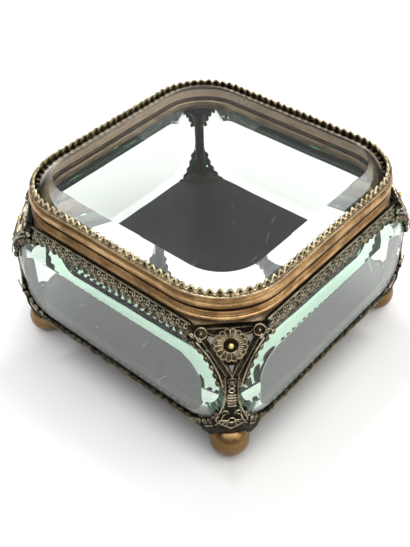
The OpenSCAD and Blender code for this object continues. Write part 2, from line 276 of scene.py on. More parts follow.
def remap(tree, value, low, high, toLow=0.0, toHigh=1.0):
    node = addNode(tree, "MapRange", {"clamp": True}, Value=value)
    for key, number in (("From Min", low), ("From Max", high), ("To Min", toLow), ("To Max", toHigh)):
        node.inputs[key].default_value = number
    return node.outputs["Result"]


def calc(tree, operation, a, b, clamp=False):
    node = addNode(tree, "Math", {"operation": operation, "use_clamp": clamp}, i0=a, i1=b)
    return node.outputs[0]


def blendColor(tree, factor, a, b):
    node = addNode(tree, "Mix", {"data_type": "RGBA"})
    for index, value in ((0, factor), (6, a), (7, b)):
        if isinstance(value, bpy.types.NodeSocket):
            tree.links.new(value, node.inputs[index])
        else:
            node.inputs[index].default_value = value
    return node.outputs[2]


def patinaGroup():
    # old brass: dark in the hollows, worn bright on what stands up
    group, given, result = newGroup(
        "agedPatina",
        [("Deep", "NodeSocketColor", (0.03, 0.02, 0.015, 1)), ("Body", "NodeSocketColor", (0.2, 0.14, 0.08, 1)),
         ("Worn", "NodeSocketColor", (0.7, 0.55, 0.33, 1)), ("Wear", "NodeSocketFloat", 0.5),
         ("Blotch Scale", "NodeSocketFloat", 160.0)],
        [("Color", "NodeSocketColor"), ("Roughness", "NodeSocketFloat"), ("Height", "NodeSocketFloat")])
    raised = addNode(group, "Attribute", {"attribute_name": "raised"}).outputs["Fac"]
    where = addNode(group, "TexCoord").outputs["Object"]
    blotch = addNode(group, "TexNoise", Detail=5.0, Roughness=0.6, Vector=where)
    group.links.new(given.outputs["Blotch Scale"], blotch.inputs["Scale"])
    grain = noiseOf(group, where, 1400.0, 3.0)
    pits = noiseOf(group, where, 700.0, 5.0, 0.7)
    spread = remap(group, blotch.outputs["Fac"], 0.3, 0.7, -0.3, 0.3)
    level = calc(group, "ADD", calc(group, "ADD", raised, spread), remap(group, grain, 0.3, 0.7, -0.12, 0.12))
    low = remap(group, level, 0.05, 0.5)
    high = calc(group, "MULTIPLY", remap(group, level, 0.5, 1.0), given.outputs["Wear"], True)
    mixed = blendColor(group, low, given.outputs["Deep"], given.outputs["Body"])
    mixed = blendColor(group, high, mixed, given.outputs["Worn"])
    dull = remap(group, level, 0.0, 1.0, 0.52, 0.24)
    dull = calc(group, "ADD", dull, remap(group, pits, 0.45, 0.7, 0.0, 0.16), True)
    height = calc(group, "ADD", calc(group, "MULTIPLY", grain, 0.35), calc(group, "MULTIPLY", pits, 0.65))
    for label, value in (("Color", mixed), ("Roughness", dull), ("Height", height)):
        group.links.new(value, result.inputs[label])
    return group


def streakGroup():
    # long streaks that run with a drawn moulding
    group, given, result = newGroup(
        "drawnStreaks", [("Fineness", "NodeSocketFloat", 3.0)],
        [("Streak", "NodeSocketFloat"), ("Stain", "NodeSocketFloat")])
    along = addNode(group, "Attribute", {"attribute_name": "along"}).outputs["Fac"]
    across = addNode(group, "Attribute", {"attribute_name": "across"}).outputs["Fac"]
    fine = addNode(group, "CombineXYZ", X=calc(group, "MULTIPLY", along, 0.045),
                   Y=calc(group, "MULTIPLY", across, given.outputs["Fineness"]))
    broad = addNode(group, "CombineXYZ", X=calc(group, "MULTIPLY", along, 0.11),
                    Y=calc(group, "MULTIPLY", across, 0.35))
    group.links.new(noiseOf(group, fine.outputs[0], 1.0, 4.0, 0.6), result.inputs["Streak"])
    group.links.new(noiseOf(group, broad.outputs[0], 1.0, 5.0, 0.65), result.inputs["Stain"])
    return group


def smudgeGroup():
    # finger marks and faint polishing lines on glass
    group, given, result = newGroup(
        "glassSmudges", [("Most", "NodeSocketFloat", 0.02)],
        [("Roughness", "NodeSocketFloat"), ("Height", "NodeSocketFloat")])
    where = addNode(group, "TexCoord").outputs["Object"]
    marks = remap(group, noiseOf(group, where, 60.0, 5.0, 0.6), 0.5, 0.75)
    group.links.new(calc(group, "MULTIPLY", marks, given.outputs["Most"]), result.inputs["Roughness"])
    group.links.new(noiseOf(group, where, 45.0, 1.0, 0.4), result.inputs["Height"])
    return group


def dustGroup():
    # specks of dust and short scratches
    group, given, result = newGroup(
        "dustAndScratches", [("Amount", "NodeSocketFloat", 0.5)], [("Dust", "NodeSocketFloat")])
    where = addNode(group, "TexCoord").outputs["Object"]
    specks = addNode(group, "TexVoronoi", {"feature": "F1"}, Vector=where, Scale=300.0, Randomness=1.0)
    dots = remap(group, specks.outputs["Distance"], 0.07, 0.13, 1.0, 0.0)
    few = remap(group, noiseOf(group, where, 190.0, 2.0), 0.64, 0.70)
    lines = addNode(group, "TexWave", {"wave_type": "BANDS"}, Vector=where, Scale=16.0, Distortion=9.0, Detail=2.0)
    scratch = remap(group, lines.outputs["Fac"], 0.9985, 1.0)
    rare = remap(group, noiseOf(group, where, 70.0, 1.0), 0.60, 0.66)
    marks = calc(group, "MAXIMUM", calc(group, "MULTIPLY", dots, few), calc(group, "MULTIPLY", scratch, rare))
    film = remap(group, noiseOf(group, where, 26.0, 5.0, 0.65), 0.4, 0.85, 0.0, 0.08)
    both = calc(group, "MAXIMUM", marks, film)
    group.links.new(calc(group, "MULTIPLY", both, given.outputs["Amount"], True), result.inputs["Dust"])
    return group


groups = {"patina": patinaGroup(), "streaks": streakGroup(), "smudges": smudgeGroup(), "dust": dustGroup()}
print("shader groups are ready")


# finishes
def newFinish(name):
    material = bpy.data.materials.new(name)
    material.use_nodes = True
    tree = material.node_tree
    tree.nodes.clear()
    output = tree.nodes.new("ShaderNodeOutputMaterial")
    shader = tree.nodes.new("ShaderNodeBsdfPrincipled")
    tree.links.new(shader.outputs["BSDF"], output.inputs["Surface"])
    return material, tree, shader, output


def useGroup(tree, key, **values):
    node = tree.nodes.new("ShaderNodeGroup")
    node.node_tree = groups[key]
    for label, value in values.items():
        node.inputs[label.replace("_", " ")].default_value = value
    return node


def oldMetal(name, deep, body, worn, wear, blotch=160.0, streaks=0.0, fineness=3.0, bump=0.12,
             shine=0.0, metallic=1.0):
    material, tree, shader, _ = newFinish(name)
    patina = useGroup(tree, "patina", Deep=(*deep, 1), Body=(*body, 1), Worn=(*worn, 1), Wear=wear,
                      Blotch_Scale=blotch)
    color = patina.outputs["Color"]
    rough = patina.outputs["Roughness"]
    if streaks:
        drawn = useGroup(tree, "streaks", Fineness=fineness)
        line = remap(tree, drawn.outputs["Streak"], 0.35, 0.7, 0.0, streaks)
        color = blendColor(tree, line, color, (*[c * 0.35 for c in body], 1))
        stain = remap(tree, drawn.outputs["Stain"], 0.48, 0.66, 0.0, streaks)
        color = blendColor(tree, stain, color, (*deep, 1))
        rough = calc(tree, "ADD", rough, calc(tree, "MULTIPLY", stain, 0.2), True)
    if shine:
        rough = calc(tree, "SUBTRACT", rough, shine, True)
    relief = addNode(tree, "Bump", Strength=bump, Distance=0.0002, Height=patina.outputs["Height"])
    tree.links.new(color, shader.inputs["Base Color"])
    tree.links.new(rough, shader.inputs["Roughness"])
    tree.links.new(relief.outputs[0], shader.inputs["Normal"])
    shader.inputs["Metallic"].default_value = metallic
    return material


def clearGlass(name, specular, density):
    material, tree, shader, output = newFinish(name)
    marks = useGroup(tree, "smudges", Most=0.012)
    relief = addNode(tree, "Bump", Strength=0.05, Distance=0.001, Height=marks.outputs["Height"])
    shader.inputs["Base Color"].default_value = (1, 1, 1, 1)
    shader.inputs["IOR"].default_value = 1.52
    shader.inputs["Specular IOR Level"].default_value = specular
    shader.inputs["Transmission Weight"].default_value = 1.0
    tree.links.new(marks.outputs["Roughness"], shader.inputs["Roughness"])
    tree.links.new(relief.outputs[0], shader.inputs["Normal"])
    inside = tree.nodes.new("ShaderNodeVolumeAbsorption")
    inside.inputs["Color"].default_value = (0.0, 0.82, 0.29, 1)
    inside.inputs["Density"].default_value = density
    tree.links.new(inside.outputs[0], output.inputs["Volume"])
    return material


def darkFloor(name, base, dustColor, rough, amount, fibre=0.0):
    material, tree, shader, _ = newFinish(name)
    dust = useGroup(tree, "dust", Amount=amount)
    where = addNode(tree, "TexCoord").outputs["Object"]
    grain = noiseOf(tree, where, 900.0, 4.0)
    color = blendColor(tree, remap(tree, grain, 0.3, 0.7), (*base, 1), (*[c * 1.2 for c in base], 1))
    color = blendColor(tree, dust.outputs["Dust"], color, (*dustColor, 1))
    tree.links.new(color, shader.inputs["Base Color"])
    tree.links.new(remap(tree, dust.outputs["Dust"], 0.0, 0.6, rough, 0.75), shader.inputs["Roughness"])
    relief = addNode(tree, "Bump", Strength=0.005 + fibre, Distance=0.0001, Height=grain)
    tree.links.new(relief.outputs[0], shader.inputs["Normal"])
    return material


finishes = {
    "frame": oldMetal("copperBrownBrass", (0.035, 0.018, 0.012), (0.265, 0.150, 0.060), (0.80, 0.53, 0.255),
                      0.75, 90.0, 0.55, 2.6, 0.08),
    "rim": oldMetal("rimBrass", (0.05, 0.035, 0.02), (0.36, 0.25, 0.14), (0.74, 0.58, 0.38),
                    0.5, 120.0, 0.45, 2.2, 0.10, metallic=0.6),
    "gilt": oldMetal("paleGilt", (0.04, 0.03, 0.02), (0.22, 0.17, 0.10), (0.74, 0.63, 0.42), 0.95, 300.0),
    "reeded": oldMetal("reededBrass", (0.10, 0.07, 0.05), (0.66, 0.47, 0.31), (0.92, 0.74, 0.54),
                       0.6, 120.0, 0.35, 2.0, metallic=0.35),
    "stamped": oldMetal("stampedBronze", (0.011, 0.009, 0.006), (0.09, 0.07, 0.043), (0.52, 0.46, 0.32),
                        0.9, 260.0, bump=0.25),
    "strip": oldMetal("stripBronze", (0.009, 0.008, 0.005), (0.055, 0.045, 0.029), (0.34, 0.31, 0.22),
                      0.85, 260.0, bump=0.25),
    # pale silver-grey flats on the mount: a painted reflection of the white room
    "flat": oldMetal("mountFlatPaintedSheen", (0.10, 0.095, 0.08), (0.38, 0.37, 0.33), (0.70, 0.69, 0.62), 0.6, 300.0),
    "daisy": oldMetal("daisyBrass", (0.012, 0.009, 0.006), (0.16, 0.115, 0.06), (0.88, 0.78, 0.55), 1.0, 300.0),
    "boss": oldMetal("bossBrass", (0.02, 0.014, 0.008), (0.42, 0.30, 0.10), (0.86, 0.70, 0.34), 0.7, 200.0,
                     shine=0.1),
    "post": oldMetal("darkPost", (0.02, 0.015, 0.01), (0.10, 0.075, 0.045), (0.3, 0.24, 0.15), 0.4),
    "foot": oldMetal("ballBrass", (0.05, 0.028, 0.012), (0.18, 0.105, 0.042), (0.35, 0.23, 0.105), 0.55, 60.0,
                     shine=0.06),
    "hinge": oldMetal("rolledBrass", (0.06, 0.04, 0.02), (0.34, 0.24, 0.12), (0.75, 0.58, 0.32), 0.5, 180.0),
    "pin": oldMetal("drawnWire", (0.08, 0.07, 0.06), (0.38, 0.35, 0.30), (0.65, 0.62, 0.55), 0.5, 400.0),
    "glass": clearGlass("sideGlass", 0.02, 7.6),
    "lidGlass": clearGlass("lidGlass", 0.9, 3.5),
    "board": darkFloor("blackBoard", (0.012, 0.012, 0.012), (0.10, 0.10, 0.09), 0.7, 0.3, 0.3),
    "floor": darkFloor("dustyFloor", (0.013, 0.013, 0.016), (0.60, 0.60, 0.56), 0.32, 0.6),
}
print("finishes are ready")

# carried-over solids get their finishes
keptNodes = {
    "base_plate": "stamped", "floor_core": "board", "floor_plate": "floor", "hinge_lid": "hinge",
    "hinge_body": "hinge", "hinge_pin": "pin",
}
for end in corners:
    keptNodes["mount_" + end] = "stamped"
    keptNodes["post_" + end] = "post"
for name, key in keptNodes.items():
    nodes[name].data.materials.clear()
    nodes[name].data.materials.append(finishes[key])


# glass plates
plateShape = {"edgeChamfer": 0.25, "crestChamfer": 0.12, "steps": 28}


def roundedLoop(halfU, halfV, radius, steps):
    loop = []
    for quarter in range(4):
        turn = math.radians(90 * quarter)
        cu = (halfU - radius) * (1 if quarter in (0, 3) else -1)
        cv = (halfV - radius) * (1 if quarter in (0, 1) else -1)
        for k in range(steps + 1):
            a = turn + math.radians(90 * k / steps)
            loop.append((cu + radius * math.cos(a), cv + radius * math.sin(a)))
    return loop


def bevelPlate(part, halfU, halfV, radius, back, edge, front, bevel, at):
    c, n = plateShape["edgeChamfer"], plateShape["crestChamfer"]
    slope = (front - edge) / bevel
    layers = [(c, back), (0, back + c), (0, edge - c * 0.6), (c * 0.5, edge + slope * c * 0.5),
              (bevel - n, front - slope * n), (bevel + n, front)]
    steps = plateShape["steps"]
    points = []
    for inset, z in layers:
        points += [(u, v, z) for u, v in roundedLoop(halfU - inset, halfV - inset, radius - inset, steps)]
    count = 4 * (steps + 1)
    faces = joinRows(len(layers), count, True, False)
    faces += [list(range(count)), list(range((len(layers) - 1) * count, len(layers) * count))]
    addShape(part, points, faces, 0.5, at)


middleZ = (casket["glassLow"] + casket["glassTop"]) / 2
for i, side in enumerate(sides):
    part = newPart()
    bevelPlate(part, casket["glassHalf"], (casket["glassTop"] - casket["glassLow"]) / 2, casket["glassR"],
               backPlane, rimPlane, casket["half"], casket["bevelW"],
               sideFrame(i) @ Matrix.Translation((0, middleZ, 0)))
    makePiece("sidePlate." + side, part, finishes["glass"], "case", ["glass_" + side], 5)

lidPlate = {"half": 57.45, "radius": 25.45, "low": 76.8, "edge": 79.6, "top": 83.2, "bevel": 7.8}
part = newPart()
bevelPlate(part, lidPlate["half"], lidPlate["half"], lidPlate["radius"], lidPlate["low"], lidPlate["edge"],
           lidPlate["top"], lidPlate["bevel"], None)
makePiece("lidPlate", part, finishes["lidGlass"], "lid", ["lid_glass"], 5)
print("glass plates are in place")

# lid frame: lowest bead, three reeds, groove, broad moulding, thin ridge and ledge
lidFrame = {"reedRadius": 0.42, "beadRadius": 0.75, "ridgeRadius": 0.3}
low, top = casket["lidLow"], casket["lidTop"]
outline = [(-6.0, low, 0.2), (-1.3, low, 0.2)]
outline += [(x, z, 0.75) for x, z in arc(-0.8, low + 0.8, lidFrame["beadRadius"], -90, 80, 8)]
for k in range(3):
    outline.append((-0.98, low + 1.68 + 0.8 * k, 0.1))
    outline += [(x, z, 0.6) for x, z in arc(-0.9, low + 2.1 + 0.8 * k, lidFrame["reedRadius"], -60, 60, 4)]
outline += [(-0.95, low + 4.2, 0.1), (-1.7, low + 4.25, 0.0), (-1.7, low + 4.9, 0.0), (-1.2, low + 5.0, 0.2)]
outline += [(-0.72, low + 5.25, 0.35), (-0.35, low + 5.65, 0.4), (-0.12, low + 6.2, 0.5), (-0.02, low + 6.8, 0.6),
            (-0.02, low + 7.4, 0.72), (-0.12, low + 8.0, 0.8), (-0.32, low + 8.55, 0.8), (-0.6, low + 9.0, 0.7),
            (-0.95, low + 9.35, 0.4), (-1.12, low + 9.5, 0.1)]
outline += [(x, z, 0.85) for x, z in arc(-1.05, top - 0.42, lidFrame["ridgeRadius"], -40, 110, 5)]
outline += [(-1.45, top - 0.2, 0.1), (-1.6, top, 0.4), (-2.4, top, 0.5), (-2.4, 76.8, 0.2), (-5.8, 76.8, 0.3),
            (-5.8, 75.6, 0.3), (-5.0, 75.0, 0.2), (-5.0, low + 1.6, 0.2), (-6.0, low + 1.0, 0.3)]
part = newPart()
sweepRing(part, [(x, z) for x, z, _ in outline], raised=[m for _, _, m in outline])
makePiece("lidMoulding", part, finishes["frame"], "lid", ["lid_frame"], 50)

# reeded band inside the lid frame
liner = {"low": 71.2, "high": 74.9, "reeds": 5}
outline = [(-5.05, liner["low"], 0.2), (-5.05, liner["high"], 0.2), (-5.7, liner["high"], 0.6)]
pitch = (liner["high"] - liner["low"] - 0.4) / liner["reeds"]
for k in range(liner["reeds"]):
    z = liner["high"] - 0.2 - (k + 0.5) * pitch
    outline.append((-5.7, z + pitch / 2, 0.1))
    outline += [(x, zz, 0.75) for x, zz in arc(-5.7, z, 0.3, 60, 300, 5)]
outline.append((-5.7, liner["low"], 0.4))
part = newPart()
sweepRing(part, [(x, z) for x, z, _ in outline], raised=[m for _, _, m in outline])
makePiece("linerReeds", part, finishes["reeded"], "lid", ["lid_liner"], 50)

# body rim: ledge under the lid with its locating lip, web down to the glass
outline = [(0.1, 63.2, 0.3), (0.1, 66.6, 0.4), (-0.55, 66.7, 0.3), (-0.75, 66.85, 0.7), (-0.72, 67.2, 0.9),
           (-0.95, 67.5, 0.5), (-1.05, 68.7, 0.3), (-6.8, 68.7, 0.5), (-6.8, 69.9, 0.6), (-7.0, 70.1, 0.8),
           (-7.8, 70.1, 0.8), (-8.0, 69.9, 0.7), (-8.0, 67.9, 0.5), (-2.8, 67.9, 0.2), (-2.8, 63.2, 0.4)]
part = newPart()
sweepRing(part, [(x, z) for x, z, _ in outline], raised=[m for _, _, m in outline])
makePiece("rimBand", part, finishes["rim"], "case", ["body_rim"], 40)
print("frames are in place")

# edging over the lid glass: a flat band with a row of standing arches
edging = {"pitch": 3.45, "wire": 0.46, "tipIn": 2.95, "rootIn": 2.2, "height": 2.55, "footBead": 0.5, "point": 1.35}


def ringSpots(half, radius, pitch, inset):
    # evenly spaced places on the rounded square, inset from it
    fine = ringPath(half - inset, radius - inset, 48)
    spots = [spot for spot, _ in fine]
    outs = [out for _, out in fine]
    lengths = [0.0]
    for k in range(len(spots)):
        lengths.append(lengths[-1] + (spots[(k + 1) % len(spots)] - spots[k]).length)
    count = round(lengths[-1] / pitch)
    places = []
    k = 0
    for n in range(count):
        want = (n + 0.5) * lengths[-1] / count
        while lengths[k + 1] < want:
            k += 1
        share = (want - lengths[k]) / (lengths[k + 1] - lengths[k])
        spot = spots[k].lerp(spots[(k + 1) % len(spots)], share)
        out = outs[k].lerp(outs[(k + 1) % len(outs)], share).normalized()
        places.append((spot, out))
    return places


def standing(spot, out, z):
    # X along the ring, Y up, Z outward
    run = Vector((-out.y, out.x, 0))
    return Matrix(((run.x, 0, out.x, spot.x), (run.y, 0, out.y, spot.y), (0, 1, 0, z), (0, 0, 0, 1)))


part = newPart()
over = casket["lidTop"] + 0.05
band = [(-0.75, over, 0.3), (-0.75, over + 0.3, 0.8), (-1.0, over + 0.42, 0.8), (-1.2, over + 0.25, 0.3),
        (-1.9, over + 0.3, 0.5), (-2.0, over + 0.55, 0.6), (-2.35, over + 0.6, 0.4), (-2.4, over, 0.1)]
sweepRing(part, [(x, z) for x, z, _ in band], raised=[m for _, _, m in band])
places = ringSpots(casket["lidHalf"], casket["lidR"], edging["pitch"], edging["rootIn"])
wide = edging["pitch"] / 2 - edging["wire"] * 0.4
lean = edging["tipIn"] - edging["rootIn"]
tip = edging["height"] - edging["wire"]
for spot, out in places:
    at = standing(spot, out, over + 0.2)
    path = []
    for k in range(-5, 6):
        up = tip * (1 - abs(k / 5) ** edging["point"])
        path.append((wide * k / 5, up, -lean * up / edging["height"]))
    tube(part, path, edging["wire"], at, sides=7, raised=0.85)
    # a dark sheet fills each arch: painted shade in the openings
    points = [(x, y, z + push) for push in (-0.35, -0.1) for x, y, z in path]
    addShape(part, points, joinRows(2, len(path), True, False) + [list(range(11)), list(range(11, 22))], 0.0, at)
    bead(part, (0, 0.35, 0.1), 0.45, at, 0.8, 0.45, 8)
    bead(part, (edging["pitch"] / 2, 0.3, 0.25), edging["footBead"], at, 0.8, 1.0, 8)
    for s in (-1, 1):
        bead(part, (s * edging["pitch"] / 4, -0.1, 0.75), 0.34, at, 0.8, 0.9, 6)
roughen(part, 0.2, 1.0)
makePiece("archedEdging", part, finishes["gilt"], "lid", ["lid_edging"], 60)
print("edging is in place")

# galleries along the top of the side glasses: a leaning band of slots over scrolls and knobs
gallery = {"pitch": 3.6, "reach": 41.6, "bend": 63.2, "high": 68.65, "back": 60.9, "slope": 0.223, "rise": 5.55,
           "knobR": 1.4, "hingeReach": 24.0, "hingeTop": 3.3}
for i, side in enumerate(sides):
    part = newPart()
    reach, rise, pitch = gallery["reach"], gallery["rise"], gallery["pitch"]
    lean = Matrix.Rotation(-math.atan(gallery["slope"]), 4, "X")
    at = sideFrame(i) @ Matrix.Translation((0, gallery["bend"], gallery["back"])) @ lean
    # the strip at the back is cut low behind the hinge
    spans = [(-reach, reach, rise)]
    if side == "back":
        spans = [(s * gallery["hingeReach"], s * reach, rise) for s in (-1, 1)]
        spans.append((-gallery["hingeReach"], gallery["hingeReach"], gallery["hingeTop"]))
    for start, stop, top in spans:
        band = [(start, 0), (stop, 0), (stop, top - 0.15), (start, top - 0.15)]
        plate(part, band, 0, 0.5, at, 0.02)
        plate(part, band, -0.3, -0.02, at, 0.9)  # pale back painted bright: painted light seen through the glass
        for y, r, mark in ((top - 0.42, 0.42, 0.75), (top - 1.1, 0.18, 0.6)):
            tube(part, [(start, y, 0.5 + r), (stop, y, 0.5 + r)], r, at, sides=8, raised=mark)
    tube(part, [(-reach, 1.75, 0.65), (reach, 1.75, 0.65)], 0.2, at, sides=6, raised=0.8)
    count = int((reach - gallery["knobR"]) / pitch)
    for k in range(-count, count + 1):
        x = k * pitch
        if side != "back" or abs(x) > gallery["hingeReach"] + 1.2:
            oval = [(x + 0.72 * math.cos(math.tau * s / 12), 3.05 + 1.0 * math.sin(math.tau * s / 12), 0.75)
                    for s in range(12)]
            tube(part, oval, 0.24, at, True, 6, 1.0)
            bead(part, (x + pitch / 2, 3.05, 0.6), 0.52, at, 0.9, 0.9, 8)
        for s in (-1, 1):
            curl = []
            for n in range(9):
                a = math.radians(-80 + 42 * n)
                r = 0.85 - 0.07 * n
                curl.append((x + s * (pitch / 2 - 0.75 + r * math.cos(a) * 0.8), 0.75 + r * math.sin(a), 0.75))
            tube(part, curl, 0.2, at, sides=5, raised=0.95)
        place = at @ Matrix.Translation((x, -0.05, 0))
        r = gallery["knobR"]
        lathe(part, [(0, 0), (r, 0), (r, 0.45), (r * 0.82, 0.9), (r * 0.62, 0.98), (r * 0.5, 0.6), (r * 0.32, 0.7),
                     (r * 0.2, 1.0), (0, 1.05)], place, 14, [0, 0, 0.3, 0.75, 0.8, 0.0, 0.1, 0.7, 0.8])
        bead(part, (x + pitch / 2, 0.05, 0.3), 0.6, at, 0.8, 0.5, 8)
    roughen(part, 0.16)
    makePiece("gallery." + side, part, finishes["strip"], "case", ["gallery_" + side], 45)

# lace strips along the lower edge of the side glasses, their knobs bent back over the bevels
lace = {"pitch": 3.6, "reach": 46.0, "back": 60.9, "low": 15.0, "bend": 17.9, "knobZ": 18.7, "knobR": 0.9}
for i, side in enumerate(sides):
    part = newPart()
    at = sideFrame(i)
    reach, back = lace["reach"], lace["back"]
    plate(part, [(-reach, lace["low"]), (reach, lace["low"]), (reach, lace["bend"]), (-reach, lace["bend"])],
          back, back + 0.4, at, 0.1)
    for z, r, mark in ((lace["low"] + 0.45, 0.4, 0.75), (lace["low"] + 1.5, 0.25, 0.6)):
        tube(part, [(-reach, z, back + 0.6), (reach, z, back + 0.6)], r, at, sides=8, raised=mark)
    tilted = at @ Matrix.Translation((0, lace["bend"], back))
    tilted = tilted @ Matrix.Rotation(math.atan2(casket["bevelDepth"], casket["bevelW"]), 4, "X")
    count = int((reach - 1.1) / lace["pitch"])
    for k in range(-count, count + 1):
        place = tilted @ Matrix.Translation((k * lace["pitch"], lace["knobZ"] - lace["bend"], 0.02))
        r = lace["knobR"]
        lathe(part, [(0, 0), (r, 0), (r, 0.4), (r * 0.8, 0.8), (r * 0.6, 0.75), (r * 0.45, 0.45), (0, 0.5)], place,
              12, [0, 0, 0.3, 0.8, 0.8, 0.05, 0.05])
        bead(part, ((k + 0.5) * lace["pitch"], lace["bend"] - 0.7, back + 0.35), 0.5, at, 0.8, 0.6, 8)
    roughen(part, 0.14)
    makePiece("lace." + side, part, finishes["strip"], "case", ["lace_" + side], 45)
print("strips are in place")

# corner mounts: relief on the stamped shell, flats, daisy, boss and foot
mount = {"earX": 10.2, "earUp": 5.0, "waistQ": 82.5, "petals": 16}
spineLine = [(17.4, 80.6), (25.6, 83.0), (30.2, 82.8), (33.2, 82.5), (46.8, 82.5), (52.8, 83.03)]


def spineAt(z):
    # how far out the mount stands at a height
    for (z0, q0), (z1, q1) in zip(spineLine, spineLine[1:]):
        if z <= z1:
            return q0 + (q1 - q0) * (z - z0) / (z1 - z0)
    return spineLine[-1][1]


def onSpine(points, lift=0.0):
    return [(t, z, spineAt(z) + lift) for t, z in points]


def mountRelief(i, end):
    part = newPart()
    hd, cn = headFrame(i), cornerFrame(i)
    for s in (-1, 1):
        ear = hd @ Matrix.Translation((s * mount["earX"], mount["earUp"], 0))
        lathe(part, [(0, 0.3), (2.4, 0.3), (2.4, 1.1), (2.1, 1.4), (1.85, 1.35), (1.6, 0.95), (1.1, 1.25), (0.5, 1.45),
                     (0.35, 1.75), (0, 1.85)], ear, 20, [0, 0, 0.5, 0.9, 0.5, 0.1, 0.2, 0.3, 0.9, 1.0])
        # channel bar with two light edges
        a, b = Vector((s * 9.0, 2.4, 0)), Vector((s * 1.35, -11.0, 0))
        run = (b - a).normalized()
        off = Vector((-run.y, run.x, 0)) * 1.0
        tube(part, [a + Vector((0, 0, 0.25)), b + Vector((0, 0, 0.25))], 0.62, hd, sides=8, raised=0.12)
        for w in (-1, 1):
            tube(part, [a + off * w + Vector((0, 0, 0.4)), b + off * w * 0.8 + Vector((0, 0, 0.4))], 0.22, hd,
                 sides=6, raised=0.95)
        # short rails from ear to the top bar
        tube(part, [(s * 8.1, 5.6, 0.4), (s * 7.2, 4.4, 0.4), (s * 5.8, 3.9, 0.4), (0, 3.5 if s > 0 else 3.5, 0.3)],
             0.2, hd, sides=6, raised=0.9)
        tube(part, [(s * 7.9, 6.3, 0.4), (s * 4.0, 6.2, 0.35), (0, 6.1, 0.3)], 0.24, hd, sides=6, raised=0.7)
        # sides of the V opening
        tube(part, [(s * 2.1, -7.3, 0.2), (s * 0.1, -11.7, 0.2)], 0.25, hd, sides=6, raised=1.0)
        # column rails with beads, knobs beside the junction
        tube(part, onSpine([(s * 2.45, 51.5), (s * 2.3, 46.0), (s * 2.3, 41.0), (s * 2.2, 38.0)], 0.1), 0.32, cn,
             sides=6, raised=0.75)
        for z, t, r in ((49.4, 3.3, 1.0), (47.3, 3.2, 0.8), (45.3, 2.9, 0.6), (43.4, 2.9, 0.6), (41.6, 2.7, 0.55)):
            bead(part, (s * t, z, spineAt(z) - 0.3), r, cn, 0.9, 0.55, 10)
        for k in range(5):
            z = 40.2 - 1.5 * k
            bead(part, (s * (2.5 + 0.2 * k), z, spineAt(z)), 0.5, cn, 0.9, 0.7, 8)
        # outline and ribs of the foot
        edge = [(2.5, 38.0), (3.3, 34.6), (4.4, 31.4), (5.9, 27.8), (5.6, 27.0), (3.6, 24.8), (0.2, 20.6)]
        tube(part, onSpine([(s * t, z) for t, z in edge], 0.1), 0.28, cn, sides=6, raised=0.9)
        for tip in ((4.9, 27.2), (3.6, 25.6), (1.9, 23.6)):
            tube(part, onSpine([(s * 1.3, 27.2), (s * tip[0], tip[1])], 0.1), 0.24, cn, sides=6, raised=0.8)
        curl = []
        for k in range(14):
            a = math.radians(200 - 32 * k)
            r = 1.5 - 0.085 * k
            curl.append((s * (2.6 + r * math.cos(a)), 31.2 + r * math.sin(a)))
        tube(part, onSpine(curl, 0.12), 0.2, cn, sides=6, raised=0.85)
    lathe(part, [(0, 0), (1.9, 0), (1.9, 0.5), (1.6, 0.8), (1.3, 0.6), (1.0, 0.9), (0.5, 1.2), (0, 1.25)],
          cn @ Matrix.Translation((0, 49.4, spineAt(49.4) - 0.1)), 16, [0, 0, 0.4, 0.8, 0.1, 0.4, 0.7, 0.8])
    for z, r in ((46.1, 1.05), (43.6, 1.05), (27.2, 1.35)):
        ring = [(r * math.cos(math.tau * k / 14), z + r * math.sin(math.tau * k / 14), spineAt(z) + 0.1)
                for k in range(14)]
        tube(part, ring, 0.27, cn, True, 6, 0.9)
    for k in range(5):
        z = 41.2 - 1.5 * k
        tube(part, [(-1.6, z, spineAt(z) + 0.1), (0, z, spineAt(z) + 0.35), (1.6, z, spineAt(z) + 0.1)], 0.42, cn,
             sides=8, raised=0.8)
    bead(part, (0, 21.0, spineAt(21.0)), 0.6, cn, 0.8, 0.9, 8)
    # knobs and a rope line round the glass, on both wings, above and below the waist
    for w, sideIndex in ((1, i), (-1, i + 1)):
        wing = sideFrame(sideIndex)
        for cz, sign, count in ((44.1, 1, 7), (35.5, -1, 5)):
            cx, r = 37.4, 17.9
            for k in range(count):
                a = math.radians(sign * (0.4 + 11.6 * (count - k)) if sign > 0 else -18 - 11.6 * k)
                place = wing @ Matrix.Translation((w * (cx + r * math.cos(a)), cz + r * math.sin(a), 61.9))
                lathe(part, [(0, -0.6), (1.35, -0.6), (1.35, 0.1), (1.05, 0.55), (0.75, 0.5), (0.55, 0.2), (0.25, 0.5),
                             (0, 0.55)], place, 12, [0, 0, 0.3, 0.7, 0.5, 0.05, 0.5, 0.6])
            turns = [math.radians(sign * (10 + 5.2 * k)) for k in range(12 if sign > 0 else 10)]
            line = [(w * (cx + 20.2 * math.cos(a)), cz + 20.2 * math.sin(a), 62.0) for a in turns]
            tube(part, line, 0.26, wing, sides=6, raised=0.85)
        for k in range(2):
            x = w * (43.2 + 3.4 * k)
            oval = [(x + 0.85 * math.cos(math.tau * s / 12), 64.9 + 0.85 * math.sin(math.tau * s / 12), 62.0)
                    for s in range(12)]
            tube(part, oval, 0.26, wing, True, 6, 0.9)
    roughen(part, 0.12)
    makePiece("mountRelief." + end, part, finishes["stamped"], "case", (), 50)

    # pale flats on the head and in the V opening, coloured as a painted reflection
    part = newPart()
    for s in (-1, 1):
        plate(part, [(s * 7.9, 3.6), (s * 5.4, 3.2), (s * 4.4, 4.6), (s * 6.4, 0.9), (s * 7.0, 0.9)], 0.0, 0.3, hd, 0.8)
    plate(part, [(-1.5, -6.4), (1.5, -6.4), (0, -11.0)], -1.2, -0.7, hd, 0.8)
    makePiece("mountFlatPaintedSheen." + end, part, finishes["flat"], "case", (), 50)


